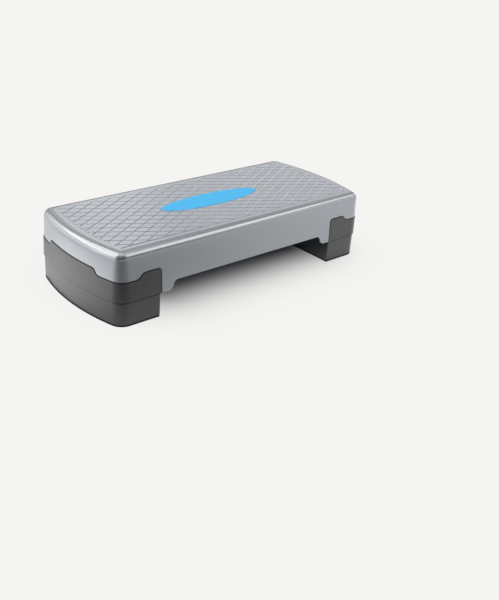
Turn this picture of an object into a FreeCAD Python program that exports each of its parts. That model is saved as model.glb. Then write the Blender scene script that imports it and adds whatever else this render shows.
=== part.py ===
"""Two-level aerobic step: a moulded deck on two screwed-on end legs, each leg standing on a lift-off riser.

Origin at the middle of the footprint, on the floor. X runs along the deck, Y across it and Z up. Millimetres.
"""
import FreeCAD, Part
import math
import os

os.makedirs("parts", exist_ok=True)
Vector = FreeCAD.Vector

# Plan of the deck at the foot of its skirt
deck_length = 680.0
deck_width = 287.0
end_bow = 22.4              # bulge of each end beyond a straight one
corner_radius = 29.0
least_corner = 1.5          # tightest corner that an inner outline may have

# Heights
riser_height = 50.0         # one step: floor to the foot of the legs and of the skirt's tabs
deck_rise = 97.0            # foot of the skirt to the standing face
skirt_lift = 19.0           # skirt's lower edge above its tabs
lobe_lift = 41.0            # lower edge of the corner lobes above the foot
window_lift = 52.5          # top of the cut-outs above the foot

# Deck shell
deck_wall = 3.0
deck_plate = 3.5
skirt_draft = 2.8           # degrees
shoulder_width = 18.5       # gentle slope between the standing face and the rolled edge
shoulder_drop = 3.0
edge_radius = 9.0
edge_steps = 4              # flats that make up the rolled edge

# Skirt tabs and cut-outs, along the outline
bay_length = 115.0          # crown of the end to the edge of the tab
tab_foot = 15.0
tab_sweep = 23.0            # run of the S-curve from the tab up to the skirt's edge
bay_corner = 8.0
side_window = 35.0          # tab's edge to the start of the S-curve on the long sides
side_sweep = 24.0
end_margin = 71.5           # long side to the start of the S-curve on the ends
end_sweep = 19.0
part_gap = 1.3              # open joint between deck and leg

# Ribs and screw bosses under the deck
deck_rib = 2.5
deck_rib_depth = 24.0
deck_rib_pitch = 60.0
deck_lanes = 3              # lanes that the long ribs part the underside into
boss_size = 12.0

# Oval pad and the border line of the tread
pad_length = 248.0
pad_width = 62.0
pad_thickness = 2.6
pad_recess = 1.6
pad_fit = 0.3
tread_margin = 31.4         # outline to the border line
tread_line = 2.2
tread_depth = 0.6

# Legs
leg_inset = 0.2
leg_draft = 1.0             # degrees
leg_wall = 3.0
leg_plate = 3.3
leg_edge = 2.0              # round on the upright inner corners

# Risers
riser_inset = 2.0
riser_wall = 3.0
riser_plate = 3.0
riser_edge = 2.0
riser_top_edge = 0.8
seam_gap = 1.5              # open joint between leg and riser, kept by the leg's feet
inner_step = 1.2            # how far a riser's inner wall stands back from the leg's

# Ribs inside legs and risers
block_rib = 2.5
rib_recess = 2.0            # ribs stop short of the rim

# Push-in square feet, their posts and the sockets that the leg's feet drop into
foot_size = 24.0
foot_flange = 2.5
foot_chamfer = 0.7
foot_stem_size = 19.0
foot_stem = 8.0
foot_fit = 0.3
post_wall = 2.5
socket_fit = 0.5
socket_floor = 3.0
foot_setback = 30.0         # tab's edge to the first row of feet
foot_row_pitch = 53.0
foot_margin = 43.5          # long side to the middle of a foot

# Leg screws, hexagon-headed
screw_diameter = 4.5
screw_length = 18.0
screw_head = 8.0            # across flats
screw_head_height = 3.0
screw_fit = 0.15
screw_hole_fit = 0.4
screw_spread = 50.0
pilot_spare = 1.5           # hole beyond the screw's tip

# Worked out from the sizes above
foot_level = riser_height
face_level = foot_level + deck_rise
skirt_level = foot_level + skirt_lift
lobe_level = foot_level + lobe_lift
window_level = foot_level + window_lift
plate_level = face_level - deck_plate
leg_top = window_level - part_gap
leg_ceiling = leg_top - leg_plate
bay_edge = deck_length / 2 - bay_length
leg_edge_x = bay_edge + part_gap
end_window = deck_width - 2 * end_margin
deck_lane = deck_width / deck_lanes
riser_edge_x = leg_edge_x + inner_step
draft_slope = math.tan(math.radians(skirt_draft))
leg_slope = math.tan(math.radians(leg_draft))
bow_radius = ((deck_width / 2) ** 2 + end_bow ** 2) / (2 * end_bow)
post_bore = foot_stem_size + 2 * foot_fit
post_size = post_bore + 2 * post_wall
socket_size = foot_size + 2 * socket_fit
socket_level = foot_level - foot_flange
riser_top = riser_height - seam_gap
foot_spread = deck_width - 2 * foot_margin
foot_rows = (bay_edge + foot_setback, bay_edge + foot_setback + foot_row_pitch)
rib_lines = [share * foot_spread / 2 for share in (-1.0, -0.5, 0.0, 0.5, 1.0)]
rib_row = sum(foot_rows) / 2
reach = deck_length         # length of a cutter that passes through everything
match = 1e-3                # how near an edge lies to the place it is looked for at
below = foot_level / 2      # how far a cutter starts under the foot of the deck


def outline(inset, level):
    """Plan outline, moved inwards by inset: straight long sides, bowed ends and round corners."""
    side = deck_width / 2 - inset
    end_radius = bow_radius - inset
    corner = max(corner_radius - inset, least_corner)
    bow_centre = deck_length / 2 - bow_radius
    corner_y = side - corner
    corner_x = bow_centre + math.sqrt((end_radius - corner) ** 2 - corner_y ** 2)
    turn = math.atan2(corner_y, corner_x - bow_centre)
    middle = (turn + math.pi / 2) / 2
    straight = (corner_x, side)
    on_corner = (corner_x + corner * math.cos(middle), corner_y + corner * math.sin(middle))
    on_end = (bow_centre + end_radius * math.cos(turn), end_radius * math.sin(turn))
    crown = bow_centre + end_radius

    def at(point, along, across):
        return Vector(along * point[0], across * point[1], level)

    edges = []
    for along, across in ((1, -1), (-1, 1)):
        line = Part.LineSegment(at(straight, -along, across), at(straight, along, across))
        first = Part.Arc(at(straight, along, across), at(on_corner, along, across), at(on_end, along, across))
        bow = Part.Arc(at(on_end, along, across), Vector(along * crown, 0, level), at(on_end, along, -across))
        last = Part.Arc(at(on_end, along, -across), at(on_corner, along, -across), at(straight, along, -across))
        edges += [line.toShape(), first.toShape(), bow.toShape(), last.toShape()]
    return Part.Wire(edges)


def block(*sections):
    """Solid through outlines given as (inset, level), with straight walls between them."""
    return Part.makeLoft([outline(inset, level) for inset, level in sections], True, True)


def box(low, high):
    return Part.makeBox(high[0] - low[0], high[1] - low[1], high[2] - low[2], Vector(*low))


def rod(diameter, x, y, low, high):
    return Part.makeCylinder(diameter / 2, high - low, Vector(x, y, low))


def post(size, x, y, low, high):
    return box((x - size / 2, y - size / 2, low), (x + size / 2, y + size / 2, high))


def s_curve(start, finish):
    """Two equal arcs from start to finish, level at both ends, as (point on arc, end of arc) pairs."""
    run = finish[0] - start[0]
    rise = finish[1] - start[1]
    turn = 2 * math.atan2(abs(rise), abs(run))
    radius = abs(run) / (2 * math.sin(turn))
    step_x = math.copysign(radius * math.sin(turn / 2), run)
    step_z = math.copysign(radius * (1 - math.cos(turn / 2)), rise)
    middle = (start[0] + run / 2, start[1] + rise / 2)
    return [((start[0] + step_x, start[1] + step_z), middle), ((finish[0] - step_x, finish[1] - step_z), finish)]


def corner_arc(start, finish):
    """Quarter round that leaves start upwards and meets finish level, as a (point on arc, end of arc) pair."""
    share = math.cos(math.radians(45))
    via = (finish[0] + (start[0] - finish[0]) * share, start[1] + (finish[1] - start[1]) * share)
    return (via, finish)


def prism(start, path, place, travel):
    """Solid swept by travel from a closed profile. A step of the path is a point, or an arc's two points."""
    edges = []
    here = start
    for step in list(path) + [start]:
        if isinstance(step[0], tuple):
            edges.append(Part.Arc(place(*here), place(*step[0]), place(*step[1])).toShape())
            here = step[1]
        else:
            edges.append(Part.makeLine(place(*here), place(*step)))
            here = step
    return Part.Face(Part.Wire(edges)).extrude(travel)


def sweep_shift(run, rise, gap):
    """Sideways move that keeps an S-curve's slope a gap away from its copy lowered by that gap."""
    return gap * math.tan(math.atan2(abs(rise), run))


def bay_space(gap):
    """Room for a leg at the right-hand end, gap smaller all round than the deck's cut-out."""
    top = window_level - gap
    lobe = lobe_level - gap
    edge = bay_edge + gap
    floor = foot_level - below
    rise = window_level - lobe_level
    corner = bay_corner - gap
    side_start = bay_edge + side_window - sweep_shift(side_sweep, rise, gap)
    side_finish = side_start + side_sweep
    end_start = end_window / 2 - sweep_shift(end_sweep, rise, gap)
    end_finish = end_start + end_sweep
    low = box((edge, -reach, floor), (reach, reach, lobe))
    side_path = [(edge, top - corner), corner_arc((edge, top - corner), (edge + corner, top)), (side_start, top)]
    side_path += s_curve((side_start, top), (side_finish, lobe)) + [(side_finish, floor)]
    side = prism((edge, floor), side_path, lambda x, z: Vector(x, -reach, z), Vector(0, 2 * reach, 0))
    end_path = s_curve((-end_finish, lobe), (-end_start, top)) + [(end_start, top)]
    end_path += s_curve((end_start, top), (end_finish, lobe)) + [(end_finish, floor), (-end_finish, floor)]
    end = prism((-end_finish, lobe), end_path, lambda y, z: Vector(edge, y, z), Vector(reach, 0, 0))
    return low.fuse([side, end]).removeSplitter()


def mirrored(shape):
    return shape.mirror(Vector(0, 0, 0), Vector(1, 0, 0))


def both_ends(shape):
    return [shape, mirrored(shape)]


def edges_at(shape, level):
    """Edges that lie flat at a level."""
    return [e for e in shape.Edges if abs(e.BoundBox.ZMin - level) < match and abs(e.BoundBox.ZMax - level) < match]


def upright_edges(shape, x):
    """Straight upright edges in the plane at x."""
    flat = [e for e in shape.Edges if abs(e.BoundBox.XMin - x) < match and abs(e.BoundBox.XMax - x) < match]
    return [e for e in flat if e.BoundBox.ZLength > e.BoundBox.YLength]


def edges_along_y(shape, x, level):
    """Edges that run across the deck at a place along it and a level."""
    return [e for e in edges_at(shape, level) if abs(e.CenterOfMass.x - x) < match and e.BoundBox.XLength < match]


def ellipse_prism(length, width, low, high):
    face = Part.Face(Part.Wire(Part.Ellipse(Vector(0, 0, low), length / 2, width / 2).toShape()))
    return face.extrude(Vector(0, 0, high - low))


def rolled_edge(before, corner, after):
    """Points of the round that joins two straight stretches of a wall's section, given as (inset, level)."""
    first = math.atan2(before[1] - corner[1], before[0] - corner[0])
    second = math.atan2(after[1] - corner[1], after[0] - corner[0])
    half = (second - first) / 2
    depth = edge_radius / math.sin(half)
    centre = (corner[0] + depth * math.cos(first + half), corner[1] + depth * math.sin(first + half))
    start = first - math.pi / 2
    sweep = math.pi - 2 * half
    turns = [start - sweep * step / edge_steps for step in range(edge_steps + 1)]
    return [(centre[0] + edge_radius * math.cos(a), centre[1] + edge_radius * math.sin(a)) for a in turns]


def deck_outside():
    edge_level = face_level - shoulder_drop
    edge_inset = (edge_level - foot_level) * draft_slope
    foot = (0, foot_level)
    face = (edge_inset + shoulder_width, face_level)
    return block(foot, *rolled_edge(foot, (edge_inset, edge_level), face), face)


def deck_inside(wall, plate):
    """Hollow of the deck, with walls and top plate of the given thicknesses left around it."""
    edge_level = face_level - shoulder_drop - plate
    low_inset = wall - below * draft_slope
    edge_inset = wall + (edge_level - foot_level) * draft_slope
    return block((low_inset, foot_level - below), (edge_inset, edge_level),
                 (edge_inset + shoulder_width, face_level - plate))


def skirt_notch():
    """Room under the skirt's raised edge, between the tabs of the two ends."""
    tab = bay_edge - tab_foot
    high = tab - tab_sweep
    floor = foot_level - below
    path = [(-tab, foot_level)] + s_curve((-tab, foot_level), (-high, skirt_level)) + [(high, skirt_level)]
    path += s_curve((high, skirt_level), (tab, foot_level)) + [(tab, floor)]
    return prism((-tab, floor), path, lambda x, z: Vector(x, -reach, z), Vector(0, 2 * reach, 0))


def deck_ribs():
    """Long and cross ribs under the standing face, let into the walls and the plate."""
    low = plate_level - deck_rib_depth
    high = plate_level + deck_plate / 2
    half = deck_rib / 2
    plates = [box((-reach, y - half, low), (reach, y + half, high)) for y in (-deck_lane / 2, deck_lane / 2)]
    cross = deck_rib_pitch / 2
    while cross < rib_row:
        for x in (-cross, cross):
            plates.append(box((x - half, -reach, low), (x + half, reach, high)))
        cross += deck_rib_pitch
    return deck_inside(deck_wall / 2, deck_plate / 2).common(plates[0].fuse(plates[1:]))


def screw_places():
    """Plan places of the right-hand leg's screws, midway between its inner wall and its cross rib."""
    x = (leg_edge_x + leg_wall + rib_row) / 2
    return [(x, across * screw_spread / 2) for across in (-1, 1)]


def foot_places():
    return [(x, across * foot_spread / 2) for x in foot_rows for across in (-1, 1)]


def tread_border():
    """Space of the shallow line that is sunk round the tread."""
    floor = face_level - tread_depth
    inner = tread_margin + tread_line
    ring = block((tread_margin, floor), (tread_margin, reach))
    return ring.cut(block((inner, floor), (inner, reach)))


def deck():
    shell = deck_outside().cut([deck_inside(deck_wall, deck_plate), skirt_notch()] + both_ends(bay_space(0)))
    bosses = [post(boss_size, x, y, leg_top, face_level - deck_plate / 2) for x, y in screw_places()]
    bosses += [mirrored(boss) for boss in bosses]
    shell = shell.fuse([deck_ribs()] + bosses)
    pilot = screw_diameter + 2 * screw_fit
    deepest = leg_ceiling + screw_length + pilot_spare
    holes = [rod(pilot, x, y, leg_top, deepest) for x, y in screw_places()]
    holes += [mirrored(hole) for hole in holes]
    recess = ellipse_prism(pad_length + 2 * pad_fit, pad_width + 2 * pad_fit, face_level - pad_recess, reach)
    return shell.cut(holes + [recess, tread_border()]).removeSplitter()


def oval_pad():
    low = face_level - pad_recess
    return ellipse_prism(pad_length, pad_width, low, low + pad_thickness)


def posts(size, low, high):
    return [post(size, x, y, low, high) for x, y in foot_places()]


def block_ribs(edge, low, high, limit):
    """Crossed ribs inside a leg or riser, kept within the limiting solid."""
    half = block_rib / 2
    plates = [box((edge, y - half, low), (reach, y + half, high)) for y in rib_lines]
    plates.append(box((rib_row - half, -reach, low), (rib_row + half, reach, high)))
    return limit.common(plates[0].fuse(plates[1:]))


def leg():
    """Right-hand leg: a block that fills the cut-out, with a narrower top inside the deck's corner lobes."""
    def wall_inset(level):
        return leg_inset + (level - foot_level) * leg_slope

    def tapered(extra, low, high):
        return block((wall_inset(low) + extra, low), (wall_inset(high) + extra, high))

    within = box((leg_edge_x, -reach, foot_level), (reach, reach, leg_top))
    within = within.makeFillet(bay_corner - part_gap, edges_along_y(within, leg_edge_x, leg_top))
    lobe_inset = deck_wall + (leg_top - foot_level) * draft_slope + part_gap
    core = block((lobe_inset, foot_level), (lobe_inset, leg_top)).common(within)
    outside = tapered(0, foot_level, leg_top).common(box((leg_edge_x, -reach, 0), (reach, reach, reach)))
    outside = outside.makeFillet(leg_edge, upright_edges(outside, leg_edge_x)).common(bay_space(part_gap))
    solid = outside.fuse(core).removeSplitter()

    hollow_edge = box((leg_edge_x + leg_wall, -reach, 0), (reach, reach, leg_ceiling))
    step_level = lobe_level - part_gap - leg_wall
    wide = tapered(leg_wall, foot_level - below, step_level)
    narrow = block((lobe_inset + leg_wall, foot_level - below), (lobe_inset + leg_wall, leg_ceiling))
    solid = solid.cut(wide.fuse(narrow).common(hollow_edge))

    rib_low = foot_level + rib_recess
    rib_high = leg_ceiling + leg_plate / 2
    limit = wide.fuse(block((lobe_inset + leg_wall / 2, rib_low), (lobe_inset + leg_wall / 2, rib_high)))
    ribs = block_ribs(leg_edge_x + leg_wall / 2, rib_low, rib_high, limit)
    solid = solid.fuse([ribs] + posts(post_size, foot_level, rib_high))
    hole = screw_diameter + 2 * screw_hole_fit
    holes = [rod(hole, x, y, leg_ceiling, leg_top) for x, y in screw_places()]
    return solid.cut(posts(post_bore, foot_level, leg_ceiling) + holes).removeSplitter()


def riser():
    """Right-hand riser: an open-bottomed block whose top has a socket over each post for the leg's feet."""
    rim = foot_flange
    within = box((riser_edge_x, -reach, rim), (reach, reach, riser_top))
    solid = block((riser_inset, rim), (riser_inset, riser_top)).common(within)
    solid = solid.makeFillet(riser_edge, upright_edges(solid, riser_edge_x))
    solid = solid.makeChamfer(riser_top_edge, edges_at(solid, riser_top))
    ceiling = riser_top - riser_plate
    cavity_inset = riser_inset + riser_wall
    cavity = block((cavity_inset, 0), (cavity_inset, ceiling))
    solid = solid.cut(cavity.common(box((riser_edge_x + riser_wall, -reach, 0), (reach, reach, ceiling))))
    limit_inset = riser_inset + riser_wall / 2
    rib_high = ceiling + riser_plate / 2
    limit = block((limit_inset, rim), (limit_inset, rib_high))
    ribs = block_ribs(riser_edge_x + riser_wall / 2, rim + rib_recess, rib_high, limit)
    solid = solid.fuse([ribs] + posts(post_size, rim, rib_high))
    bores = posts(post_bore, rim, socket_level - socket_floor)
    return solid.cut(bores + posts(socket_size, socket_level, riser_top)).removeSplitter()


def foot(x, y, rim):
    """Push-in rubber foot: a chamfered flange under the post's rim and a stem inside its bore."""
    sole = rim - foot_flange
    flange = post(foot_size, x, y, sole, rim)
    flange = flange.makeChamfer(foot_chamfer, edges_at(flange, sole))
    return flange.fuse(post(foot_stem_size, x, y, rim, rim + foot_stem)).removeSplitter()


def screw(x, y):
    """Screw with its head below the leg's plate and its shank up into the deck's boss."""
    shank = rod(screw_diameter, x, y, leg_ceiling, leg_ceiling + screw_length)
    across_corners = screw_head / math.cos(math.pi / 6) / 2
    corners = [math.pi / 3 * turn for turn in range(7)]
    low = leg_ceiling - screw_head_height
    points = [Vector(x + across_corners * math.cos(a), y + across_corners * math.sin(a), low) for a in corners]
    head = Part.Face(Part.makePolygon(points)).extrude(Vector(0, 0, screw_head_height))
    return head.fuse(shank)


def export(node, shape):
    shape.exportStep(f"parts/{node}.step")


export("deck", deck())
export("oval_pad", oval_pad())
pieces = {"leg": leg(), "riser": riser(), "leg_screws": Part.makeCompound([screw(x, y) for x, y in screw_places()])}
for name, piece in pieces.items():
    export(f"right_{name}", piece)
    export(f"left_{name}", mirrored(piece))
for block_name, rim in (("leg", foot_level), ("riser", foot_flange)):
    for side, along in (("left", -1), ("right", 1)):
        for front, across in (("front", -1), ("back", 1)):
            for row, x in zip(("inner", "outer"), foot_rows):
                place = foot(along * x, across * foot_spread / 2, rim)
                export(f"{side}_{block_name}_foot_{front}_{row}", place)
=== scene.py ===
import math

import bmesh
import bpy
import numpy as np
from mathutils import Matrix, Vector
from mathutils.geometry import delaunay_2d_cdt


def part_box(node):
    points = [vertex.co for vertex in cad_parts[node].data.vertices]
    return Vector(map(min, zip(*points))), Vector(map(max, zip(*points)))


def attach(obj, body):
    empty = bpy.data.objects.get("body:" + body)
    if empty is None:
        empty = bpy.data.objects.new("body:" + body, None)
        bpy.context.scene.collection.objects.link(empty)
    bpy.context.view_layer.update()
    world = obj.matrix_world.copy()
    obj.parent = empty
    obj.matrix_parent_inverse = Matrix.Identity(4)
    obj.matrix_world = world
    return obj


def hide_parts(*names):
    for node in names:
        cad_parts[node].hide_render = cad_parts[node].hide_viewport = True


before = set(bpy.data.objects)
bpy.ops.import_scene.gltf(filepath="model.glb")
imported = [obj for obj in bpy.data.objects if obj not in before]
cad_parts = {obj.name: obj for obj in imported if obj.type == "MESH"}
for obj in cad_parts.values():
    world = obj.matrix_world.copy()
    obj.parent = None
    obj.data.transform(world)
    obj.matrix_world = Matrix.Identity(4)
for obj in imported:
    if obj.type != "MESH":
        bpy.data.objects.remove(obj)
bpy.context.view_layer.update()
mm = 0.001  # sizes below are in metres
quarterTurn = math.pi / 2
fullTurn = 2 * math.pi
flatten = np.array([1, 1, 0])  # keeps x and y of a point
upwards = np.array([0, 0, 1])

bpy.context.scene.view_settings.view_transform = "Standard"
print("frame loaded:", len(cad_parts), "nodes")


# Small helpers: colours, shader nodes and meshes

meshCare = {"weld": 5e-6, "shortest": 1e-6}  # metres: closer points become one, shorter edges go


def hexColour(code):
    # sRGB hex to linear light: c / 12.92 near black, else ((c + 0.055) / 1.055) ^ 2.4
    srgb = np.array([int(code[i:i + 2], 16) for i in (1, 3, 5)]) / 255
    linear = np.where(srgb <= 0.04045, srgb / 12.92, ((srgb + 0.055) / 1.055) ** 2.4)
    return (*linear.tolist(), 1.0)


def addNode(tree, kind, inputs=None, **settings):
    # an input that is another node's socket becomes a link, any other a constant
    node = tree.nodes.new(kind)
    for name, value in settings.items():
        setattr(node, name, value)
    for socket, value in (inputs or {}).items():
        if isinstance(value, bpy.types.NodeSocket):
            tree.links.new(value, node.inputs[socket])
        else:
            node.inputs[socket].default_value = value
    return node


def newMaterial(name):
    material = bpy.data.materials.new(name)
    material.use_nodes = True
    material.node_tree.nodes.clear()
    return material, material.node_tree


def sheet(points, closed=False, flip=False):
    # a grid of points, shape rows x columns x 3, as (vertices, quads); closed joins the last column
    # to the first
    rows, columns = points.shape[:2]
    row = np.arange(rows - 1)[:, None] * columns
    column = np.arange(columns if closed else columns - 1)
    after = (column + 1) % columns
    corners = [row + column, row + columns + column, row + columns + after, row + after]
    faces = np.stack([corner.ravel() for corner in corners], 1)
    return points.reshape(-1, 3), faces[:, ::-1] if flip else faces


def cap(points, flip=False):
    # a loop of points as (vertices, one face)
    order = np.arange(len(points))[None]
    return points, order[:, ::-1] if flip else order


def shadeMesh(mesh, material, sharpAngle):
    # one material, smooth but for the edges that turn more than sharpAngle
    mesh.polygons.foreach_set("use_smooth", np.ones(len(mesh.polygons), bool))
    mesh.set_sharp_from_angle(angle=sharpAngle)
    mesh.materials.clear()
    mesh.materials.append(material)


def addObject(name, data):
    holder = bpy.data.objects.new(name, data)
    bpy.context.scene.collection.objects.link(holder)
    return holder


def makePiece(name, sheets, body, material, sharpAngle=math.radians(35)):
    # joins (vertices, faces) sheets and merges the points that they share
    faces, start = [], 0
    for points, polygons in sheets:
        faces += (polygons + start).tolist()
        start += len(points)
    mesh = bpy.data.meshes.new(name)
    mesh.from_pydata(np.concatenate([points for points, _ in sheets]), [], faces)
    welded = bmesh.new()
    welded.from_mesh(mesh)
    bmesh.ops.remove_doubles(welded, verts=welded.verts, dist=meshCare["weld"])
    bmesh.ops.dissolve_degenerate(welded, edges=welded.edges, dist=meshCare["shortest"])
    welded.to_mesh(mesh)
    welded.free()
    shadeMesh(mesh, material, sharpAngle)
    piece = addObject(name, mesh)
    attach(piece, body)
    return piece


# Materials

bumpDepth = 0.1 * mm


def mottle(tree, place, size, detail, tones, rough):
    # soft clouds of one size that carry the colour between two tones and the roughness between two values
    cloud = addNode(tree, "ShaderNodeTexNoise", {"Vector": place, "Scale": 1 / size, "Detail": detail})
    colour = addNode(tree, "ShaderNodeMix", {
        "Factor": cloud.outputs["Fac"], "A": hexColour(tones[0]), "B": hexColour(tones[1])},
        data_type="RGBA")
    roughness = addNode(tree, "ShaderNodeMapRange", {
        "Value": cloud.outputs["Fac"], "To Min": rough[0], "To Max": rough[1]})
    return colour.outputs["Result"], roughness.outputs["Result"]


def silverPolypropylene():
    # moulded plastic with a metal flake in it: cool silver, satin sheen, faintly uneven in gloss
    flake, grain, clouds = 0.9 * mm, 0.6 * mm, 45 * mm  # flake and grain coarser than life, so as to show
    material, tree = newMaterial("silver_flake_polypropylene")
    place = addNode(tree, "ShaderNodeTexCoord").outputs["Object"]
    speck = addNode(tree, "ShaderNodeTexNoise", {"Vector": place, "Scale": 1 / flake, "Detail": 2.0})
    silver = addNode(tree, "ShaderNodeMix", {
        "Factor": speck.outputs["Fac"], "A": hexColour("#B0B5BB"), "B": hexColour("#B6BBC2")},
        data_type="RGBA")
    groove = addNode(tree, "ShaderNodeAttribute", attribute_name="groove")
    paintedGrooveShade = addNode(tree, "ShaderNodeMix", {  # painted shade darkens the tread's lines, deepest at their floor
        "Factor": groove.outputs["Fac"], "A": silver.outputs["Result"], "B": hexColour("#A2A7AE")},
        data_type="RGBA")
    fine = addNode(tree, "ShaderNodeTexNoise", {"Vector": place, "Scale": 1 / grain, "Detail": 1.0})
    bump = addNode(tree, "ShaderNodeBump", {
        "Height": fine.outputs["Fac"], "Strength": 0.012, "Distance": bumpDepth})
    cloud = addNode(tree, "ShaderNodeTexNoise", {"Vector": place, "Scale": 1 / clouds, "Detail": 3.0})
    roughness = addNode(tree, "ShaderNodeMapRange", {
        "Value": cloud.outputs["Fac"], "To Min": 0.22, "To Max": 0.27})
    shader = addNode(tree, "ShaderNodeBsdfPrincipled", {
        "Base Color": paintedGrooveShade.outputs["Result"], "Roughness": roughness.outputs["Result"], "Metallic": 0.55,
        "IOR": 1.5, "Normal": bump.outputs["Normal"]})
    addNode(tree, "ShaderNodeOutputMaterial", {"Surface": shader.outputs["BSDF"]})
    return material


def charcoalPolypropylene(name, tones, rough):
    # moulded polypropylene with a spark-eroded grain: near-black grey, semi-matt
    grain, clouds = 0.8 * mm, 30 * mm  # grain drawn coarser than life so that it shows
    material, tree = newMaterial(name)
    place = addNode(tree, "ShaderNodeTexCoord").outputs["Object"]
    colour, roughness = mottle(tree, place, clouds, detail=3.0, tones=tones, rough=rough)
    fine = addNode(tree, "ShaderNodeTexNoise", {"Vector": place, "Scale": 1 / grain, "Detail": 2.0})
    bump = addNode(tree, "ShaderNodeBump", {
        "Height": fine.outputs["Fac"], "Strength": 0.12, "Distance": bumpDepth})
    shader = addNode(tree, "ShaderNodeBsdfPrincipled", {
        "Base Color": colour, "Roughness": roughness, "IOR": 1.5, "Specular IOR Level": 1.0,
        "Normal": bump.outputs["Normal"]})
    addNode(tree, "ShaderNodeOutputMaterial", {"Surface": shader.outputs["BSDF"]})
    return material


def bluePolyvinyl():
    # moulded soft PVC: saturated sky blue, satin, with a faint leather grain
    grain, clouds = 1.6 * mm, 25 * mm
    material, tree = newMaterial("blue_pvc_moulded")
    place = addNode(tree, "ShaderNodeTexCoord").outputs["Object"]
    colour, roughness = mottle(
        tree, place, clouds, detail=2.0, tones=("#49C2FF", "#50C5FF"), rough=(0.55, 0.62))
    cells = addNode(tree, "ShaderNodeTexVoronoi", {"Vector": place, "Scale": 1 / grain},
                    feature="DISTANCE_TO_EDGE")
    bump = addNode(tree, "ShaderNodeBump", {
        "Height": cells.outputs["Distance"], "Strength": 0.08, "Distance": bumpDepth})
    shader = addNode(tree, "ShaderNodeBsdfPrincipled", {
        "Base Color": colour, "Roughness": roughness, "IOR": 1.5, "Specular IOR Level": 0.25,
        "Normal": bump.outputs["Normal"]})
    addNode(tree, "ShaderNodeOutputMaterial", {"Surface": shader.outputs["BSDF"]})
    return material


def blackRubber():
    # moulded rubber: matt black with a dusty bloom
    grain, bloom = 0.7 * mm, 6 * mm
    material, tree = newMaterial("black_rubber_moulded")
    place = addNode(tree, "ShaderNodeTexCoord").outputs["Object"]
    colour, roughness = mottle(
        tree, place, bloom, detail=3.0, tones=("#1B1B1C", "#28282A"), rough=(0.75, 0.9))
    fine = addNode(tree, "ShaderNodeTexNoise", {"Vector": place, "Scale": 1 / grain})
    bump = addNode(tree, "ShaderNodeBump", {
        "Height": fine.outputs["Fac"], "Strength": 0.2, "Distance": bumpDepth})
    shader = addNode(tree, "ShaderNodeBsdfPrincipled", {
        "Base Color": colour, "Roughness": roughness, "IOR": 1.52, "Normal": bump.outputs["Normal"]})
    addNode(tree, "ShaderNodeOutputMaterial", {"Surface": shader.outputs["BSDF"]})
    return material


def zincPlatedSteel():
    # cold-headed steel, zinc plated: bright, slightly clouded metal
    clouds = 1.5 * mm
    material, tree = newMaterial("zinc_plated_steel")
    place = addNode(tree, "ShaderNodeTexCoord").outputs["Object"]
    colour, roughness = mottle(
        tree, place, clouds, detail=3.0, tones=("#B9BCBE", "#CDD0D2"), rough=(0.25, 0.4))
    shader = addNode(tree, "ShaderNodeBsdfPrincipled", {
        "Base Color": colour, "Roughness": roughness, "Metallic": 1.0})
    addNode(tree, "ShaderNodeOutputMaterial", {"Surface": shader.outputs["BSDF"]})
    return material


deckPlastic = silverPolypropylene()
legPlastic = charcoalPolypropylene("charcoal_polypropylene_grained", ("#34353A", "#3B3C41"), (0.30, 0.36))
riserPlastic = charcoalPolypropylene("charcoal_polypropylene_smooth", ("#32363A", "#383C40"), (0.27, 0.32))
padPlastic = bluePolyvinyl()
footRubber = blackRubber()
screwSteel = zincPlatedSteel()
print("materials made")


# Deck: one moulded shell

deckLow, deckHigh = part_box("deck")
padLow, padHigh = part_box("oval_pad")

deckShape = {
    "halfLength": 340 * mm,
    "bow": 22.4 * mm,            # bulge of each end
    "corner": 29 * mm,
    "sharper": 7 * mm,           # taken off the corner radius on the way up the roll
    "sharpLift": 72 * mm,        # where that starts, above the foot
    "draft": math.radians(2.8),
    "padRise": 1 * mm,           # top of the oval pad above the standing face
    "shoulderRadius": 25 * mm,
    "shoulderTurn": (math.radians(12.5), math.radians(5)),  # along the sides, round the ends
    "shoulderRun": (6.5 * mm, 2 * mm),
    "edgeRadius": (10.5 * mm, 17 * mm),
    "endFrom": 0.5,              # share of the corner's turn at which the end's section is reached
    "wall": 3 * mm,
    "plate": 3.5 * mm,
    "lip": 0.4 * mm,             # round on the lower edges
    "skirtLift": 19 * mm,        # lower edge above the foot: of the skirt along the sides,
    "lobeLift": 41 * mm,         # of the lobes at the corners,
    "windowLift": 52.5 * mm,     # and of the windows over the legs
    "bayEdge": 225 * mm,         # from the middle to the bay that a leg fills
    "bayCorner": 8 * mm,
    "tabFoot": 15 * mm,          # level foot of the tab beside the bay
    "tabSweep": 23 * mm,         # run of the double curve from the skirt to that foot
    "sideWindow": 35 * mm,       # from the bay's edge to the curve down to the lobe
    "sideSweep": 24 * mm,
    "endWindow": 72 * mm,        # half width of the window at an end
    "endSweep": 19 * mm,
    "recessGap": 0.3 * mm,       # round the oval pad
    "sharp": math.radians(15),   # edges that turn more than this stay sharp
}
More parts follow.
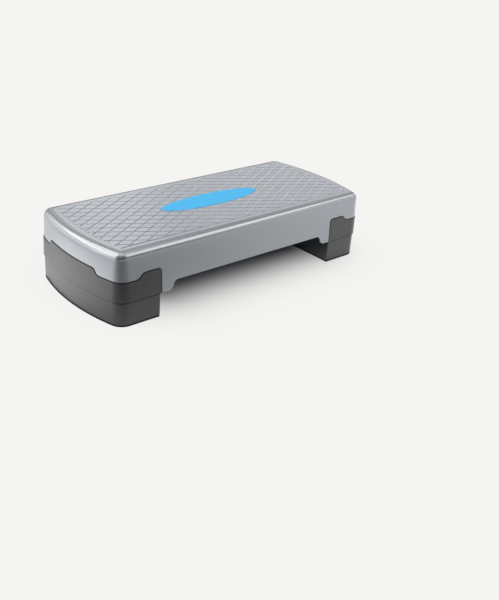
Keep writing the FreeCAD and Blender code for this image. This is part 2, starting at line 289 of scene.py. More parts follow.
# points on each run of a quarter of the outline, on each part of the section and on the oval
deckSteps = {
    "middle": 15, "sweep": 9, "foot": 4, "bay": 9, "flat": 5, "last": 4,
    "corner": 15, "outer": 6, "crown": 12,
    "shoulder": 6, "roll": 16, "wall": 7, "skirt": 9, "lip": 4,
    "oval": 160,
}
treadShape = {
    "margin": 31.4 * mm,         # outline to the foot of the raised field
    "surround": 2 * mm,          # flat strip outside that foot
    "least": 1.5 * mm,           # corner of the field
    "angle": math.radians(30),
    "pitch": 20 * mm,
    "offsets": {1: 3.0 * mm, -1: 8.8 * mm},  # first line of each hand from the middle, square to the lines
    "lineHalf": (1.0 * mm, 0.2 * mm),  # half width of a line at its rim and at its floor
    "depth": 0.95 * mm,
    "stepRun": 0.5 * mm,         # slope round the raised field, down to the depth of the lines
}
slack = {
    "column": 1e-9,              # metres, either side of the bay's edge
    "cut": 1e-7,                 # metres, between two cuts of the face that are one
    "insideOval": 1e-4,          # in the oval's ratio, which is 1 on it
    "onOval": 2e-3,
}

halfWidth = deckHigh.y
footLevel = deckLow.z
faceLevel = padHigh.z - deckShape["padRise"]
baseLevel = faceLevel - treadShape["depth"]  # round the raised field
bowRadius = (halfWidth ** 2 + deckShape["bow"] ** 2) / (2 * deckShape["bow"])
bowCentre = deckShape["halfLength"] - bowRadius


def ease(share):
    # smooth step from 0 to 1: 3 s^2 - 2 s^3
    return share ** 2 * (3 - 2 * share)


def wallInset(level):
    # the drafted wall's way in from the outline at the foot: height times the tangent of the draft
    return (level - footLevel) * math.tan(deckShape["draft"])


def cornerOf(inset, radius):
    # corner round of the outline moved in by inset: its centre and the direction in which it meets the bow
    centreY = halfWidth - inset - radius
    centreX = bowCentre + np.sqrt((bowRadius - inset - radius) ** 2 - centreY ** 2)
    return centreX, centreY, np.arctan2(centreY, centreX - bowCentre)


baseX, _, baseMeet = cornerOf(0, deckShape["corner"])


def sCurve(run, rise):
    # two equal arcs from (0, 0) to (run, rise), level at both ends; radius = (run^2 + rise^2) / (4 rise)
    radius = (run ** 2 + rise ** 2) / (4 * abs(rise))
    angle = np.linspace(0, 2 * math.atan2(abs(rise), run), deckSteps["sweep"])
    x, z = radius * np.sin(angle), radius * (1 - np.cos(angle))
    x = np.concatenate([x, run - x[-2::-1]])
    z = np.concatenate([z, abs(rise) - z[-2::-1]])
    return x, np.sign(rise) * z


def joinRuns(*runs):
    # strings runs of columns together, dropping each first column that repeats the last one;
    # a run's first item is an array, and a single number among the others serves the whole run
    first, *others = [np.broadcast_arrays(*run) for run in runs]
    return [np.concatenate([first[k]] + [run[k][1:] for run in others]) for k in range(len(first))]


def deckQuarter():
    # columns of a quarter of the outline, from the middle of a long side to the crown of an end: x on the
    # side, direction in the corner and bow, lower limit of the shell and of the skirt between the tabs
    s, n = deckShape, deckSteps
    skirt, lobe, window = (footLevel + s[k] for k in ("skirtLift", "lobeLift", "windowLift"))
    high = window - s["bayCorner"]
    tab = s["bayEdge"] - s["tabFoot"]
    lobeFrom = s["bayEdge"] + s["sideWindow"]
    sweepX, sweepZ = sCurve(s["tabSweep"], -s["skirtLift"])
    dropX, dropZ = sCurve(s["sideSweep"], lobe - window)
    riseY, riseZ = sCurve(s["endSweep"], window - lobe)
    turn = np.linspace(0, quarterTurn, n["bay"])
    bayX = s["bayEdge"] + s["bayCorner"] * (1 - np.cos(turn))
    sideX, sideLimit, sideSkirt = joinRuns(
        (np.linspace(0, tab - s["tabSweep"], n["middle"]), high, skirt),
        (tab - s["tabSweep"] + sweepX, high, skirt + sweepZ),
        (np.linspace(tab, s["bayEdge"], n["foot"]), high, footLevel),
        (bayX, high + s["bayCorner"] * np.sin(turn), footLevel),
        (np.linspace(bayX[-1], lobeFrom, n["flat"]), window, footLevel),
        (lobeFrom + dropX, window + dropZ, footLevel),
        (np.linspace(lobeFrom + s["sideSweep"], baseX, n["last"]), lobe, footLevel))
    cornerTurn = np.linspace(quarterTurn, baseMeet, n["corner"])[1:]
    bowY, bowLimit = joinRuns(
        (np.linspace(bowRadius * math.sin(baseMeet), s["endWindow"] + s["endSweep"], n["outer"]), lobe),
        (s["endWindow"] + s["endSweep"] - riseY, lobe + riseZ),
        (np.linspace(s["endWindow"], 0, n["crown"]), window))
    bowTurn = np.arcsin(bowY / bowRadius)[1:]
    limit = np.concatenate([sideLimit, np.full(len(cornerTurn), lobe), bowLimit[1:]])
    return sideX, cornerTurn, bowTurn, limit, sideSkirt


sideX, cornerTurn, bowTurn, quarterLimit, quarterSkirt = deckQuarter()


def wholeLoop(quarter, flipX=1, flipY=1):
    # a quarter's values mirrored round the outline, counter-clockwise from the middle of the front
    mirrored = [quarter, flipY * quarter[-2::-1], flipX * flipY * quarter[1:], flipX * quarter[-2:0:-1]]
    return np.concatenate(mirrored)


runs = [len(sideX), len(cornerTurn), len(bowTurn)]
runLoop = wholeLoop(np.repeat([0, 1, 2], runs))  # side, corner or bow
onSide, onCorner = runLoop == 0, runLoop == 1
alongLoop = wholeLoop(np.concatenate([sideX, cornerTurn, bowTurn]))
signX = wholeLoop(np.ones(sum(runs)), flipX=-1)
signY = wholeLoop(-np.ones(sum(runs)), flipY=-1)


def outlineLoop(inset, radius):
    # x and y of every column on the outline moved in by inset, with a corner of that radius;
    # both are given per column or once for all
    centreX, centreY, meet = cornerOf(inset, radius)
    turn = quarterTurn + (alongLoop - quarterTurn) * (meet - quarterTurn) / (baseMeet - quarterTurn)
    bow = alongLoop * meet / baseMeet
    reach = bowRadius - inset
    x = np.where(onSide, alongLoop * centreX / baseX,
                 np.where(onCorner, centreX + radius * np.cos(turn), bowCentre + reach * np.cos(bow)))
    y = np.where(onSide, halfWidth - inset,
                 np.where(onCorner, centreY + radius * np.sin(turn), reach * np.sin(bow)))
    return signX * x, signY * y


columnX, columnY = outlineLoop(0, deckShape["corner"])
pastSide = len(cornerTurn) + len(bowTurn)
limitLoop = wholeLoop(quarterLimit)
skirtLoop = wholeLoop(np.concatenate([quarterSkirt, np.full(pastSide, footLevel)]))
pastBayEdge = np.abs(columnX) > deckShape["bayEdge"] + slack["column"]
fromBayEdge = np.abs(columnX) > deckShape["bayEdge"] - slack["column"]  # the column at the edge as well
cornerShare = (quarterTurn - cornerTurn) / (quarterTurn - cornerTurn[-1])
cornerShare = ease(np.minimum(cornerShare / deckShape["endFrom"], 1))
endShare = wholeLoop(np.concatenate([np.zeros(len(sideX)), cornerShare, np.ones(len(bowTurn))]))
sideColumn, endColumn = 0, len(quarterLimit) - 1  # middle of the front, crown of an end


def treadLoop(inset):
    # outline moved in by inset with the corner of the tread's border
    return outlineLoop(inset, max(deckShape["corner"] - inset, treadShape["least"]))


def flatRing(inset, level):
    # points of the tread's border moved to inset, at one level
    return np.stack(treadLoop(inset) + (np.full(len(columnX), level),), -1)


def ring(inset, level):
    # points of all columns at insets and levels given per column; the corners grow sharper towards the top
    s = deckShape
    share = np.clip((level - footLevel - s["sharpLift"]) / (faceLevel - footLevel - s["sharpLift"]), 0, 1)
    radius = s["corner"] - inset - s["sharper"] * ease(share)
    return np.stack(outlineLoop(inset, np.maximum(radius, treadShape["least"])) + (level,), -1)


def wallRings(levels, thick=0):
    # rings down the drafted wall, moved in by thick, one for each row of levels
    return [ring(wallInset(level) + thick, level) for level in levels]


def deckSection():
    # section from the face to the wall, rows by columns, as (inset, level, slope): an arc down to the
    # sloping shoulder, the shoulder, and the rolled edge turning to the draft; sizes pass from side to end
    # at the corners
    s = deckShape
    turn, flat, radius = (s[k][0] + (s[k][1] - s[k][0]) * endShare
                          for k in ("shoulderTurn", "shoulderRun", "edgeRadius"))
    first = np.linspace(0, 1, deckSteps["shoulder"])[:, None] * turn
    second = turn + np.linspace(0, 1, deckSteps["roll"])[:, None] * (quarterTurn - s["draft"] - turn)
    wide = s["shoulderRadius"]
    rollRun = wide * np.sin(turn) + flat * np.cos(turn)
    rollDrop = wide * (1 - np.cos(turn)) + flat * np.sin(turn)
    run = np.concatenate([wide * np.sin(first), rollRun + radius * (np.sin(second) - np.sin(turn))])
    drop = np.concatenate([wide * (1 - np.cos(first)), rollDrop + radius * (np.cos(turn) - np.cos(second))])
    level = baseLevel - drop
    return wallInset(level[-1]) + run[-1] - run, level, np.concatenate([first, second])


def innerSection():
    # the section's inner side: plate thickness at the face, passing evenly into the wall thickness
    s = deckShape
    inset, level, slope = deckSection()
    thick = s["plate"] + (s["wall"] - s["plate"]) * slope / slope[-1]
    return inset + thick * np.sin(slope), level - thick * np.cos(slope)


def outlineInset(x, y):
    # how far points lie inside the outline: the nearer of the long side and the bow
    return np.minimum(halfWidth - np.abs(y), bowRadius - np.hypot(np.abs(x) - bowCentre, y))


def treadHeight(x, y):
    # height against the raised field: the lower of its sloping edge and the two families of slanted lines
    t = treadShape
    height = -t["depth"] * np.clip(1 - (outlineInset(x, y) - t["margin"]) / t["stepRun"], 0, 1)
    for hand in (1, -1):
        across = -hand * math.sin(t["angle"]) * x + math.cos(t["angle"]) * y - t["offsets"][hand]
        nearest = np.abs(across - t["pitch"] * np.round(across / t["pitch"]))
        height = np.minimum(height, -np.interp(nearest, t["lineHalf"][::-1], [t["depth"], 0]))
    return height


def treadLines():
    # ends of every edge of the slanted lines, cut to the foot of the raised field: between its long sides
    # and within the circles of its two bows
    t = treadShape
    count = math.ceil(deckShape["halfLength"] / t["pitch"])
    lineEdges = np.array([-1, -1, 1, 1]) * (t["lineHalf"] + t["lineHalf"][::-1])
    toSide, toBow = halfWidth - t["margin"], bowRadius - t["margin"]
    starts, ends = [], []
    for hand in (1, -1):
        middles = t["offsets"][hand] + t["pitch"] * np.arange(-count, count + 1)
        across = (middles[:, None] + lineEdges).ravel()
        along = np.array([math.cos(t["angle"]), hand * math.sin(t["angle"])])
        square = np.array([-hand * math.sin(t["angle"]), math.cos(t["angle"])])
        base = across[:, None] * square
        low, high = np.sort([(side * toSide - base[:, 1]) / along[1] for side in (-1, 1)], 0)
        for end in (1, -1):
            fromCentre = base - np.array([end * bowCentre, 0])
            middle = -fromCentre @ along
            half = np.sqrt(np.maximum(toBow ** 2 - np.sum(fromCentre ** 2, 1) + middle ** 2, 0))
            low, high = np.maximum(low, middle - half), np.minimum(high, middle + half)
        kept = high - low > 2 * t["lineHalf"][0]
        starts.append(base[kept] + low[kept, None] * along)
        ends.append(base[kept] + high[kept, None] * along)
    return np.concatenate(starts), np.concatenate(ends)


def ovalRing(extra, level):
    # ellipse of the pad, grown by extra
    angle = np.linspace(0, fullTurn, deckSteps["oval"], endpoint=False)
    x, y = (padHigh.x + extra) * np.cos(angle), (padHigh.y + extra) * np.sin(angle)
    return np.stack([x, y, np.full(len(angle), level)], -1)


def ovalRatio(points, oval):
    # 1 on the oval and less inside it: (x / half length)^2 + (y / half width)^2
    return np.sum((points[:, :2] / oval[:, :2].max(0)) ** 2, 1)


def treadSheet(outer, oval):
    # the standing face between the outer ring and the oval, cut along the edges of every tread line
    t = treadShape
    borders = [np.stack(treadLoop(t["margin"] + run), -1) for run in (0, t["stepRun"])]
    loops = [outer[:, :2], oval[:, :2]] + borders
    starts, ends = treadLines()
    points = np.concatenate(loops + [starts, ends])
    edges, start = [], 0
    for loop in loops:
        index = np.arange(len(loop))
        edges.append(np.stack([index, np.roll(index, -1)], 1) + start)
        start += len(loop)
    index = np.arange(len(starts))
    edges.append(np.stack([index, index + len(starts)], 1) + start)
    cut = delaunay_2d_cdt([Vector(p) for p in points], np.concatenate(edges).tolist(), [], 0, slack["cut"])
    flat, triangles = np.array([tuple(v) for v in cut[0]]), np.array(cut[2])
    triangles = triangles[ovalRatio(flat[triangles].mean(1), oval) > 1 - slack["insideOval"]]
    return np.column_stack([flat, faceLevel + treadHeight(flat[:, 0], flat[:, 1])]), triangles


def faceSheets(outer):
    # standing face with its tread, and the recess for the pad
    oval = ovalRing(deckShape["recessGap"], faceLevel)
    face, triangles = treadSheet(outer, oval)
    onOval = np.flatnonzero(np.abs(ovalRatio(face, oval) - 1) < slack["onOval"])
    rim = face[np.unique(triangles[np.isin(triangles, onOval)])]
    x, y = (rim[:, :2] / oval[:, :2].max(0)).T
    rim = rim[np.argsort(np.arctan2(y, x))]
    floor = rim * flatten + upwards * padLow.z
    return [(face, triangles), sheet(np.stack([rim, floor]), closed=True), cap(floor)]


def rimStrip(outer, inner, lip):
    # lower edge between the outer and inner wall: a quarter round of radius lip, then flat;
    # lip is given per column and is zero at free corners
    turn = np.linspace(0, quarterTurn, deckSteps["lip"])[1:, None]
    inward = (inner - outer) * flatten
    inward /= np.linalg.norm(inward, axis=1)[:, None]
    run, drop = lip * (1 - np.cos(turn)), lip * np.sin(turn)
    rounded = outer + inward * run[..., None] - upwards * drop[..., None]
    return np.concatenate([outer[None], rounded, inner[None]])


def skirtSheets(side):
    # skirt on one long side, between the tabs of the two ends: both walls, lower edge and two free edges
    chosen = np.flatnonzero(onSide & ~pastBayEdge & (np.sign(columnY) == side))
    chosen = chosen[np.argsort(-side * columnX[chosen])]
    lip = np.where(fromBayEdge, 0, deckShape["lip"])
    share = np.linspace(0, 1, deckSteps["skirt"])[:, None]
    outer = np.stack(wallRings(limitLoop + (skirtLoop + lip - limitLoop) * share))[:, chosen]
    inner = np.stack(wallRings(limitLoop + (skirtLoop - limitLoop) * share, deckShape["wall"]))[:, chosen]
    lower = rimStrip(outer[-1], inner[-1], lip[chosen])
    free = [sheet(np.stack([outer[:, k], inner[:, k]]), flip=k == 0) for k in (0, -1)]
    return [sheet(outer), sheet(inner, flip=True), sheet(lower)] + free


def deckShell():
    # outer and inner rings from the face down to the lower limit, the skirts, the lower edges and the face
    s = deckShape
    lip = np.where(pastBayEdge, s["lip"], 0)
    share = np.linspace(0, 1, deckSteps["wall"])[1:, None]
    inset, level, _ = deckSection()
    surround = flatRing(treadShape["margin"] - treadShape["surround"], baseLevel)
    outer = [surround] + [ring(i, z) for i, z in zip(inset, level)]
    outer += wallRings(level[-1] + (limitLoop + lip - level[-1]) * share)
    inset, level = innerSection()
    underside = flatRing(2 * treadShape["margin"], baseLevel - s["plate"])  # well inside the roll
    inner = [underside] + [ring(i, z) for i, z in zip(inset, level)]
    inner += wallRings(level[-1] + (limitLoop - level[-1]) * share, s["wall"])
    sheets = [sheet(np.stack(outer), closed=True), sheet(np.stack(inner), closed=True, flip=True)]
    sheets.append(cap(underside, flip=True))
    for side in (-1, 1):
        sheets += skirtSheets(side)
    for end in (-1, 1):  # lower edge round each end
        chosen = np.flatnonzero((np.sign(columnX) == end) & (~onSide | fromBayEdge))
        chosen = chosen[np.argsort(np.arctan2(columnY[chosen] * end, columnX[chosen] * end))]
        sheets.append(sheet(rimStrip(outer[-1][chosen], inner[-1][chosen], lip[chosen])))
    return sheets + faceSheets(surround)


def markGrooves(mesh):
    # depth of each point in the tread's lines as a share of their full depth, zero elsewhere; the deck's
    # material paints shade in the lines by it
    t = treadShape
    place = np.empty(len(mesh.vertices) * 3, np.float32)
    mesh.vertices.foreach_get("co", place)
    x, y, z = place.reshape(-1, 3).T
    share = np.round((faceLevel - z) / t["depth"], decimals=3)
    inField = outlineInset(x, y) > t["margin"] + t["stepRun"]
    share = np.where(inField & (share <= 1), share, 0)
    mesh.attributes.new("groove", "FLOAT", "POINT").data.foreach_set("value", share.astype(np.float32))


deckPiece = makePiece("deck_shell", deckShell(), "deck", deckPlastic, deckShape["sharp"])
markGrooves(deckPiece.data)
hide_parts("deck")
print("deck shell:", len(deckPiece.data.polygons), "faces")


# Deck underside: a grid of moulded ribs and the bosses that take the leg screws

ribShape = {
    "width": 2.5 * mm,
    "lift": 69.5 * mm,           # lower edge above the foot of the skirt
    "crossAt": 60 * mm,          # pitch of the cross ribs, the first half a pitch from the middle
    "crossCount": 10,
    "longAt": halfWidth / 3,
    "bite": 0.3 * mm,            # how far the ribs run into plate and wall
    "bossAt": (255.4 * mm, 25 * mm),
    "boss": 12 * mm,
    "bossLift": 51.2 * mm,
}


def slab(profile, axis, place, width):
    # flat plate: profile points (along, level) swept over width about place on the given axis
    faces = np.zeros((2, len(profile), 3))
    faces[:, :, 1 - axis], faces[:, :, 2] = profile[:, 0], profile[:, 1]
    faces[:, :, axis] = place + np.array([[-0.5], [0.5]]) * width
    flip = axis == 1
    return [sheet(faces, closed=True, flip=flip), cap(faces[0], flip=flip), cap(faces[1], flip=not flip)]


def ribProfile(column, reach):
    # closed profile under the inner section at a column, reach(inset) giving the half length at an inset
    inset, level = (rows[:, column] for rows in innerSection())
    low = footLevel + ribShape["lift"]
    keep = level > low
    inset = np.append(inset[keep], wallInset(low) + deckShape["wall"]) - ribShape["bite"]
    half, level = reach(inset), np.append(level[keep] + ribShape["bite"], low)
    return np.concatenate([np.column_stack([-half, level])[::-1], np.column_stack([half, level])])


def deckRibs():
    # cross ribs and long ribs as slabs cut to the inner section, and square bosses
    r = ribShape
    cross = ribProfile(sideColumn, lambda inset: halfWidth - inset)
    long = ribProfile(
        endColumn, lambda inset: bowCentre + np.sqrt((bowRadius - inset) ** 2 - r["longAt"] ** 2))
    sheets = []
    for place in (np.arange(r["crossCount"]) - (r["crossCount"] - 1) / 2) * r["crossAt"]:
        sheets += slab(cross, 0, place, r["width"])
    for side in (-1, 1):
        sheets += slab(long, 1, side * r["longAt"], r["width"])
    top, low = faceLevel - deckShape["plate"] + r["bite"], footLevel + r["bossLift"]
    half = r["boss"] / 2
    for x in (-r["bossAt"][0], r["bossAt"][0]):
        for y in (-r["bossAt"][1], r["bossAt"][1]):
            square = np.array([[y - half, low], [y + half, low], [y + half, top], [y - half, top]])
            sheets += slab(square[::-1], 0, x, r["boss"])
    return sheets


ribPiece = makePiece("deck_ribs", deckRibs(), "deck", deckPlastic)
print("deck ribs:", len(ribPiece.data.polygons), "faces")


# Oval pad: soft insert with a rounded rim and a low crown

padShape = {
    "rimLevel": 0.45 * mm,       # top of the rim above the standing face
    "round": 0.8 * mm,
    "roundSteps": 6,
    "rings": 14,
    "innermost": 0.02,           # size of the last ring against the rim
}


def ovalPad():
    # rings of the ellipse moved in round the rim, then shrunk by k: the crown's height goes as 1 - k^2
    p = padShape
    turn = np.linspace(0, quarterTurn, p["roundSteps"])
    rim = faceLevel + p["rimLevel"]
    inset = np.append(0, p["round"] * (1 - np.cos(turn)))
    level = np.append(padLow.z, rim - p["round"] + p["round"] * np.sin(turn))
    rows = np.stack([ovalRing(-i, z) for i, z in zip(inset, level)])
    k = np.linspace(1, p["innermost"], p["rings"])[1:, None, None]
    crown = rows[-1] * flatten * k + upwards * (rim + (padHigh.z - rim) * (1 - k * k))
    wall = sheet(np.concatenate([rows, crown]), closed=True, flip=True)
    return [wall, cap(crown[-1]), cap(rows[0], flip=True)]


padPiece = makePiece("oval_pad_moulded", ovalPad(), "deck", padPlastic)
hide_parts("oval_pad")
print("oval pad:", len(padPiece.data.polygons), "faces")


# Legs, risers, feet and screws: the CAD shapes with small rounds on their edges

edgeRounds = {"leg": 0.5 * mm, "riser": 1.1 * mm, "foot": 0.8 * mm, "screws": 0.2 * mm}
dressing = {
    "weld": 1e-5,                # metres; closer corners of the CAD facets become one
    "flat": math.radians(0.5),   # facets that turn less than this are joined
    "sharp": math.radians(30),   # edges that turn more than this are rounded
    "segments": 2,
}


def dressNode(name, body, material, radius):
    # copy of a CAD node: corners welded, flat facets joined, edges rounded, curved walls shaded smoothly
    d = dressing
    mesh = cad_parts[name].data.copy()
    mesh.name = name + "_dressed"
    welded = bmesh.new()
    welded.from_mesh(mesh)
    bmesh.ops.remove_doubles(welded, verts=welded.verts, dist=d["weld"])
    bmesh.ops.dissolve_limit(welded, angle_limit=d["flat"], verts=welded.verts, edges=welded.edges)
    welded.to_mesh(mesh)
    welded.free()
    shadeMesh(mesh, material, d["sharp"])
    piece = addObject(mesh.name, mesh)
    edge = piece.modifiers.new("rounded_edges", "BEVEL")
    edge.width, edge.segments = radius, d["segments"]
    edge.limit_method, edge.angle_limit = "ANGLE", d["sharp"]
    even = piece.modifiers.new("flat_faces_stay_flat", "WEIGHTED_NORMAL")
    even.keep_sharp = True
    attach(piece, body)
    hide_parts(name)


for side in ("left", "right"):
    dressNode(side + "_leg", "deck", legPlastic, edgeRounds["leg"])
    dressNode(side + "_riser", side + "_riser", riserPlastic, edgeRounds["riser"])
    dressNode(side + "_leg_screws", "deck", screwSteel, edgeRounds["screws"])
    for row in ("front", "back"):
        for place in ("inner", "outer"):
            for owner, body in (("leg", "deck"), ("riser", side + "_riser")):
                foot = f"{side}_{owner}_foot_{row}_{place}"
                dressNode(foot, body, footRubber, edgeRounds["foot"])
print("legs, risers, feet and screws dressed")


# Stage: pale floor, soft lights and the camera, all in metres

def stageSheet(name, surface, material):
    # (vertices, faces) as a mesh of the stage, which is no piece of the object
    points, faces = surface
    mesh = bpy.data.meshes.new(name)
    mesh.from_pydata(points, [], faces.tolist())
    mesh.materials.append(material)
    staged = addObject(name, mesh)
    return staged


stage = {
    "paper": "#F5F4F2",
    "shade": "#A1A5AD",                  # darker paper under the deck, which deepens its real shade: partly painted shade
    "shadeMiddle": (0.03, 0.02, 0),      # the floor takes real shade only in a box round this point
    "shadeHalf": (0.176, 0.048, 1),
    "shadeFade": 0.1045,                 # how fast that fades outside the box, a painted fade
    "half": 9.0,                         # half the floor's width
    "wall": 8.8,                         # radius and height of the backdrop
    "wallSides": 64,
}
# soft-edged cards on the floor that only the object sees: middle, squeeze of x and y, the distances
# at which a card is still full and at which it is gone, and the brightness that it adds
cards = {
    "front": {"at": (-0.76, -0.45, 0), "squeeze": (0.4, 1, 1), "full": 0.10, "gone": 0.49, "adds": -0.95},
    "left": {"at": (-0.455, 0.12, 0), "squeeze": (1.75, 1, 1), "full": 0.05, "gone": 0.32, "adds": 0.85},
    "right": {"at": (0.22, -0.42, 0), "squeeze": (1, 1, 1), "full": 0.15, "gone": 0.40, "adds": -0.13},
    "back": {"at": (0.15, 0.25, 0), "squeeze": (1, 1, 1), "full": 0.20, "gone": 0.45, "adds": -1.0},
    "far": {"at": (3.2, 3.9, 0), "squeeze": (1, 1, 1), "full": 3.8, "gone": 4.5, "adds": -0.8},
}


def paperFloor():
    # white paper sweep lit from below, so evenly bright; in a box under the object it turns to a darker matt
    # paper that takes real shade from the lamps, deepened by that darker colour, and fades out as painted
    # shade:
    # the shade's share is exp(-(distance from the box / fade)^2)
    material, tree = newMaterial("white_paper_floor")
    material.cycles.emission_sampling = "NONE"  # found by the object's own rays, not sampled as a lamp
    place = addNode(tree, "ShaderNodeTexCoord").outputs["Object"]
    offset = addNode(tree, "ShaderNodeVectorMath", {0: place, 1: stage["shadeMiddle"]}, operation="SUBTRACT")
    size = addNode(tree, "ShaderNodeVectorMath", {0: offset.outputs["Vector"]}, operation="ABSOLUTE")
    past = addNode(tree, "ShaderNodeVectorMath", {0: size.outputs["Vector"], 1: stage["shadeHalf"]},
                   operation="SUBTRACT")
    beyond = addNode(tree, "ShaderNodeVectorMath", {0: past.outputs["Vector"]}, operation="MAXIMUM")
    reach = addNode(tree, "ShaderNodeVectorMath", {0: beyond.outputs["Vector"], 1: beyond.outputs["Vector"]},
                    operation="DOT_PRODUCT")
    fall = addNode(tree, "ShaderNodeMath", {0: reach.outputs["Value"], 1: -1 / stage["shadeFade"] ** 2},
                   operation="MULTIPLY")
    shade = addNode(tree, "ShaderNodeMath", {0: fall.outputs["Value"]}, operation="EXPONENT")
    total = 0.0
    for card in cards.values():
        fromCard = addNode(tree, "ShaderNodeVectorMath", {0: place, 1: card["at"]}, operation="SUBTRACT")
        squeezed = addNode(tree, "ShaderNodeVectorMath", {0: fromCard.outputs["Vector"], 1: card["squeeze"]},
                           operation="MULTIPLY")
        toCard = addNode(tree, "ShaderNodeVectorMath", {0: squeezed.outputs["Vector"]}, operation="LENGTH")
        change = addNode(tree, "ShaderNodeMapRange", {
            "Value": toCard.outputs["Value"], "From Min": card["full"], "From Max": card["gone"],
            "To Min": card["adds"], "To Max": 0.0}, interpolation_type="SMOOTHSTEP")
        added = addNode(tree, "ShaderNodeMath", {0: total, 1: change.outputs["Result"]}, operation="ADD")
        total = added.outputs["Value"]
    ray = addNode(tree, "ShaderNodeLightPath")
    unseen = addNode(tree, "ShaderNodeMath", {0: 1.0, 1: ray.outputs["Is Camera Ray"]}, operation="SUBTRACT")
    glow = addNode(tree, "ShaderNodeMath", {0: unseen.outputs["Value"], 1: total, 2: 1.0},
                   operation="MULTIPLY_ADD")
    matt = addNode(tree, "ShaderNodeBsdfDiffuse", {"Color": hexColour(stage["shade"])})
    even = addNode(tree, "ShaderNodeEmission", {
        "Color": hexColour(stage["paper"]), "Strength": glow.outputs["Value"]})
    mix = addNode(tree, "ShaderNodeMixShader", {
        0: shade.outputs["Value"], 1: even.outputs["Emission"], 2: matt.outputs["BSDF"]})
    addNode(tree, "ShaderNodeOutputMaterial", {"Surface": mix.outputs["Shader"]})
    return material


def layFloor():
    corners = np.array([[-1, -1, 0], [1, -1, 0], [1, 1, 0], [-1, 1, 0]]) * stage["half"]
    stageSheet("floor", cap(corners), paperFloor())


def hangBackdrop():
    # round wall of the floor's white, which only the camera sees, so that no horizon shows in a low view
    material, tree = newMaterial("white_paper_backdrop")
    even = addNode(tree, "ShaderNodeEmission", {"Color": hexColour(stage["paper"])})
    addNode(tree, "ShaderNodeOutputMaterial", {"Surface": even.outputs["Emission"]})
    angle = np.linspace(0, fullTurn, stage["wallSides"], endpoint=False)
    foot = np.stack([np.cos(angle), np.sin(angle), np.zeros(len(angle))], -1) * stage["wall"]
    curved = sheet(np.stack([foot, foot + upwards * stage["wall"]]), closed=True)
    wall = stageSheet("backdrop", curved, material)
    wall.visible_diffuse = wall.visible_glossy = wall.visible_transmission = wall.visible_shadow = False


flag = {"cloth": "#141414", "towards": (-0.72, -0.62, 0.42), "distance": 2.5, "size": (2.6, 2.0)}


def hangFlag():
    # black cloth behind the camera, seen only in reflections, which keeps the near corner dark
    material, tree = newMaterial("black_flag_cloth")
    matt = addNode(tree, "ShaderNodeBsdfDiffuse", {"Color": hexColour(flag["cloth"])})
    addNode(tree, "ShaderNodeOutputMaterial", {"Surface": matt.outputs["BSDF"]})
    towards = Vector(flag["towards"]).normalized()
    across = towards.cross(Vector((0, 0, 1))).normalized()
    up = across.cross(towards)
    width, height = flag["size"]
    corners = [towards * flag["distance"] + across * width / 2 * i + up * height / 2 * j
               for i, j in ((-1, -1), (1, -1), (1, 1), (-1, 1))]
    cloth = stageSheet("flag", cap(np.array(corners)), material)
    cloth.visible_camera = False


# painted contact shadow under the risers: its level, rim, blotch size and two tones
contact = {"level": 0.2 * mm, "rim": 5 * mm, "blotch": 2 * mm, "tones": ("#5A5B5D", "#626366")}


def riserPlan(side, grow):
    # outline of a riser's foot grown by grow, counter-clockwise from its inner edge
    low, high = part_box("right_riser")
    inset = halfWidth - high.y - grow
    x, y = outlineLoop(inset, deckShape["corner"] - inset)
    chosen = np.flatnonzero(side * columnX > low.x)
    chosen = chosen[np.argsort(np.arctan2(side * y[chosen], side * x[chosen]))]
    edge = side * (low.x - grow)
    plan = np.concatenate([[[edge, y[chosen[0]]]], np.stack([x, y], -1)[chosen], [[edge, y[chosen[-1]]]]])
    return np.column_stack([plan, np.full(len(plan), contact["level"])])


def layPaintedContactShadow():
    # painted contact shadow: a dark matt sheet under each riser that stands in for the shade where the
    # bright floor is hidden from the lights; its rim, painted shadow too, shows only in reflections
    material, tree = newMaterial("painted_contact_shadow_under_risers")
    place = addNode(tree, "ShaderNodeTexCoord").outputs["Object"]
    blotch = addNode(tree, "ShaderNodeTexNoise", {"Vector": place, "Scale": 1 / contact["blotch"]})
    dark, light = contact["tones"]
    colour = addNode(tree, "ShaderNodeMix", {
        "Factor": blotch.outputs["Fac"], "A": hexColour(dark), "B": hexColour(light)}, data_type="RGBA")
    matt = addNode(tree, "ShaderNodeBsdfDiffuse", {"Color": colour.outputs["Result"]})
    addNode(tree, "ShaderNodeOutputMaterial", {"Surface": matt.outputs["BSDF"]})
    for side, body in ((-1, "left_riser"), (1, "right_riser")):
        foot, grown = riserPlan(side, 0), riserPlan(side, contact["rim"])
        paper = stageSheet(body + "_painted_shadow", cap(foot), material)
        rim = stageSheet(body + "_painted_shadow_rim", sheet(np.stack([foot, grown]), closed=True), material)
        rim.visible_camera = False
        for under in (paper, rim):
            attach(under, body)


# each lamp: direction from the object, distance, width and height, brightness where 1 is white, and colour
softboxes = {
    "keyBack": {"towards": (-0.52, 0.48, 0.70), "distance": 2.4, "size": (2.0, 1.4), "brightness": 2.1,
                "colour": "#FFFAF0"},
    "wingBack": {"towards": (0.25, 0.82, 0.50), "distance": 2.4, "size": (1.2, 1.0), "brightness": 0.40},
    "lowBack": {"towards": (-0.578, 0.74, 0.342), "distance": 3.0, "size": (2.9, 1.9), "brightness": 1.2},
    "backdrop": {"towards": (0.624, 0.681, 0.383), "distance": 3.6, "size": (2.4, 1.7), "brightness": 0.68},
    "overRight": {"towards": (0.58, -0.27, 0.765), "distance": 3.3, "size": (3.3, 1.28), "brightness": 2.1,
                  "colour": "#FFFBF4"},
    "fillLeft": {"towards": (-0.93, 0.25, 0.27), "distance": 2.2, "size": (1.0, 1.0), "brightness": 1.0},
    "sideRight": {"towards": (0.97, 0.155, 0.18), "distance": 3.0, "size": (1.1, 0.8), "brightness": 2.6},
    "frontRight": {"towards": (0.75, -0.57, 0.33), "distance": 2.5, "size": (1.4, 1.2), "brightness": 0.9},
    "overhead": {"towards": (0, 0.08, 0.997), "distance": 2.5, "size": (3.0, 2.4), "brightness": 0.88},
}


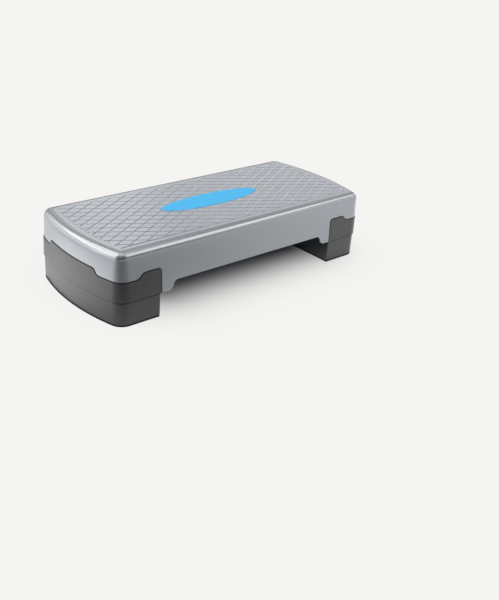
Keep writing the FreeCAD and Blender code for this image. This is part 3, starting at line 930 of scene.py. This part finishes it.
def hangSoftboxes():
    # area lamps that face the origin and stay hidden from the camera
    for name, box in softboxes.items():
        lamp = bpy.data.lights.new(name, "AREA")
        lamp.shape = "RECTANGLE"
        width, height = box["size"]
        lamp.size, lamp.size_y = width, height
        lamp.color = hexColour(box.get("colour", "#FFFFFF"))[:3]
        lamp.energy = box["brightness"] * math.pi * width * height  # radiance times pi times area
        holder = addObject(name, lamp)
        towards = Vector(box["towards"]).normalized()
        holder.location = towards * box["distance"]
        holder.rotation_euler = towards.to_track_quat("Z", "Y").to_euler()
        holder.visible_camera = False


room = {"colour": "#F2F4F8", "brightness": 0.20}


def dimRoom():
    # low even light from the room
    world = bpy.data.worlds.new("room")
    world.use_nodes = True
    world.node_tree.nodes.clear()
    sky = addNode(world.node_tree, "ShaderNodeBackground", {
        "Color": hexColour(room["colour"]), "Strength": room["brightness"]})
    addNode(world.node_tree, "ShaderNodeOutputWorld", {"Surface": sky.outputs["Background"]})
    bpy.context.scene.world = world


camera = {
    "azimuth": math.radians(-43.41),
    "elevation": math.radians(27.12),
    "roll": math.radians(4.48),
    "distance": 1.7884,
    "slide": (0.09268, -0.08157),   # sideways and upwards from the line of sight through the origin
    "sensor": 36,                   # mm, along the picture's long side
    "lens": 49.22,                  # mm
}


def placeCamera():
    # faces the origin from azimuth and elevation, rolls about the line of sight, then slides square to it
    c = camera
    back = np.array([math.sin(c["azimuth"]) * math.cos(c["elevation"]),
                     -math.cos(c["azimuth"]) * math.cos(c["elevation"]), math.sin(c["elevation"])])
    level = np.array([math.cos(c["azimuth"]), math.sin(c["azimuth"]), 0])
    upright = np.cross(back, level)
    right = math.cos(c["roll"]) * level + math.sin(c["roll"]) * upright
    up = math.cos(c["roll"]) * upright - math.sin(c["roll"]) * level
    eye = back * c["distance"] + right * c["slide"][0] + up * c["slide"][1]
    lens = bpy.data.cameras.new("camera")
    lens.lens = c["lens"]
    lens.sensor_width = c["sensor"]
    lens.sensor_height = c["sensor"]
    lens.sensor_fit = "AUTO"
    placed = np.eye(4)
    placed[:3] = np.column_stack([right, up, back, eye])
    holder = addObject("camera", lens)
    holder.matrix_world = Matrix(placed.tolist())
    bpy.context.scene.camera = holder


layFloor()
layPaintedContactShadow()
hangBackdrop()
hangFlag()
hangSoftboxes()
dimRoom()
placeCamera()
print("stage set")
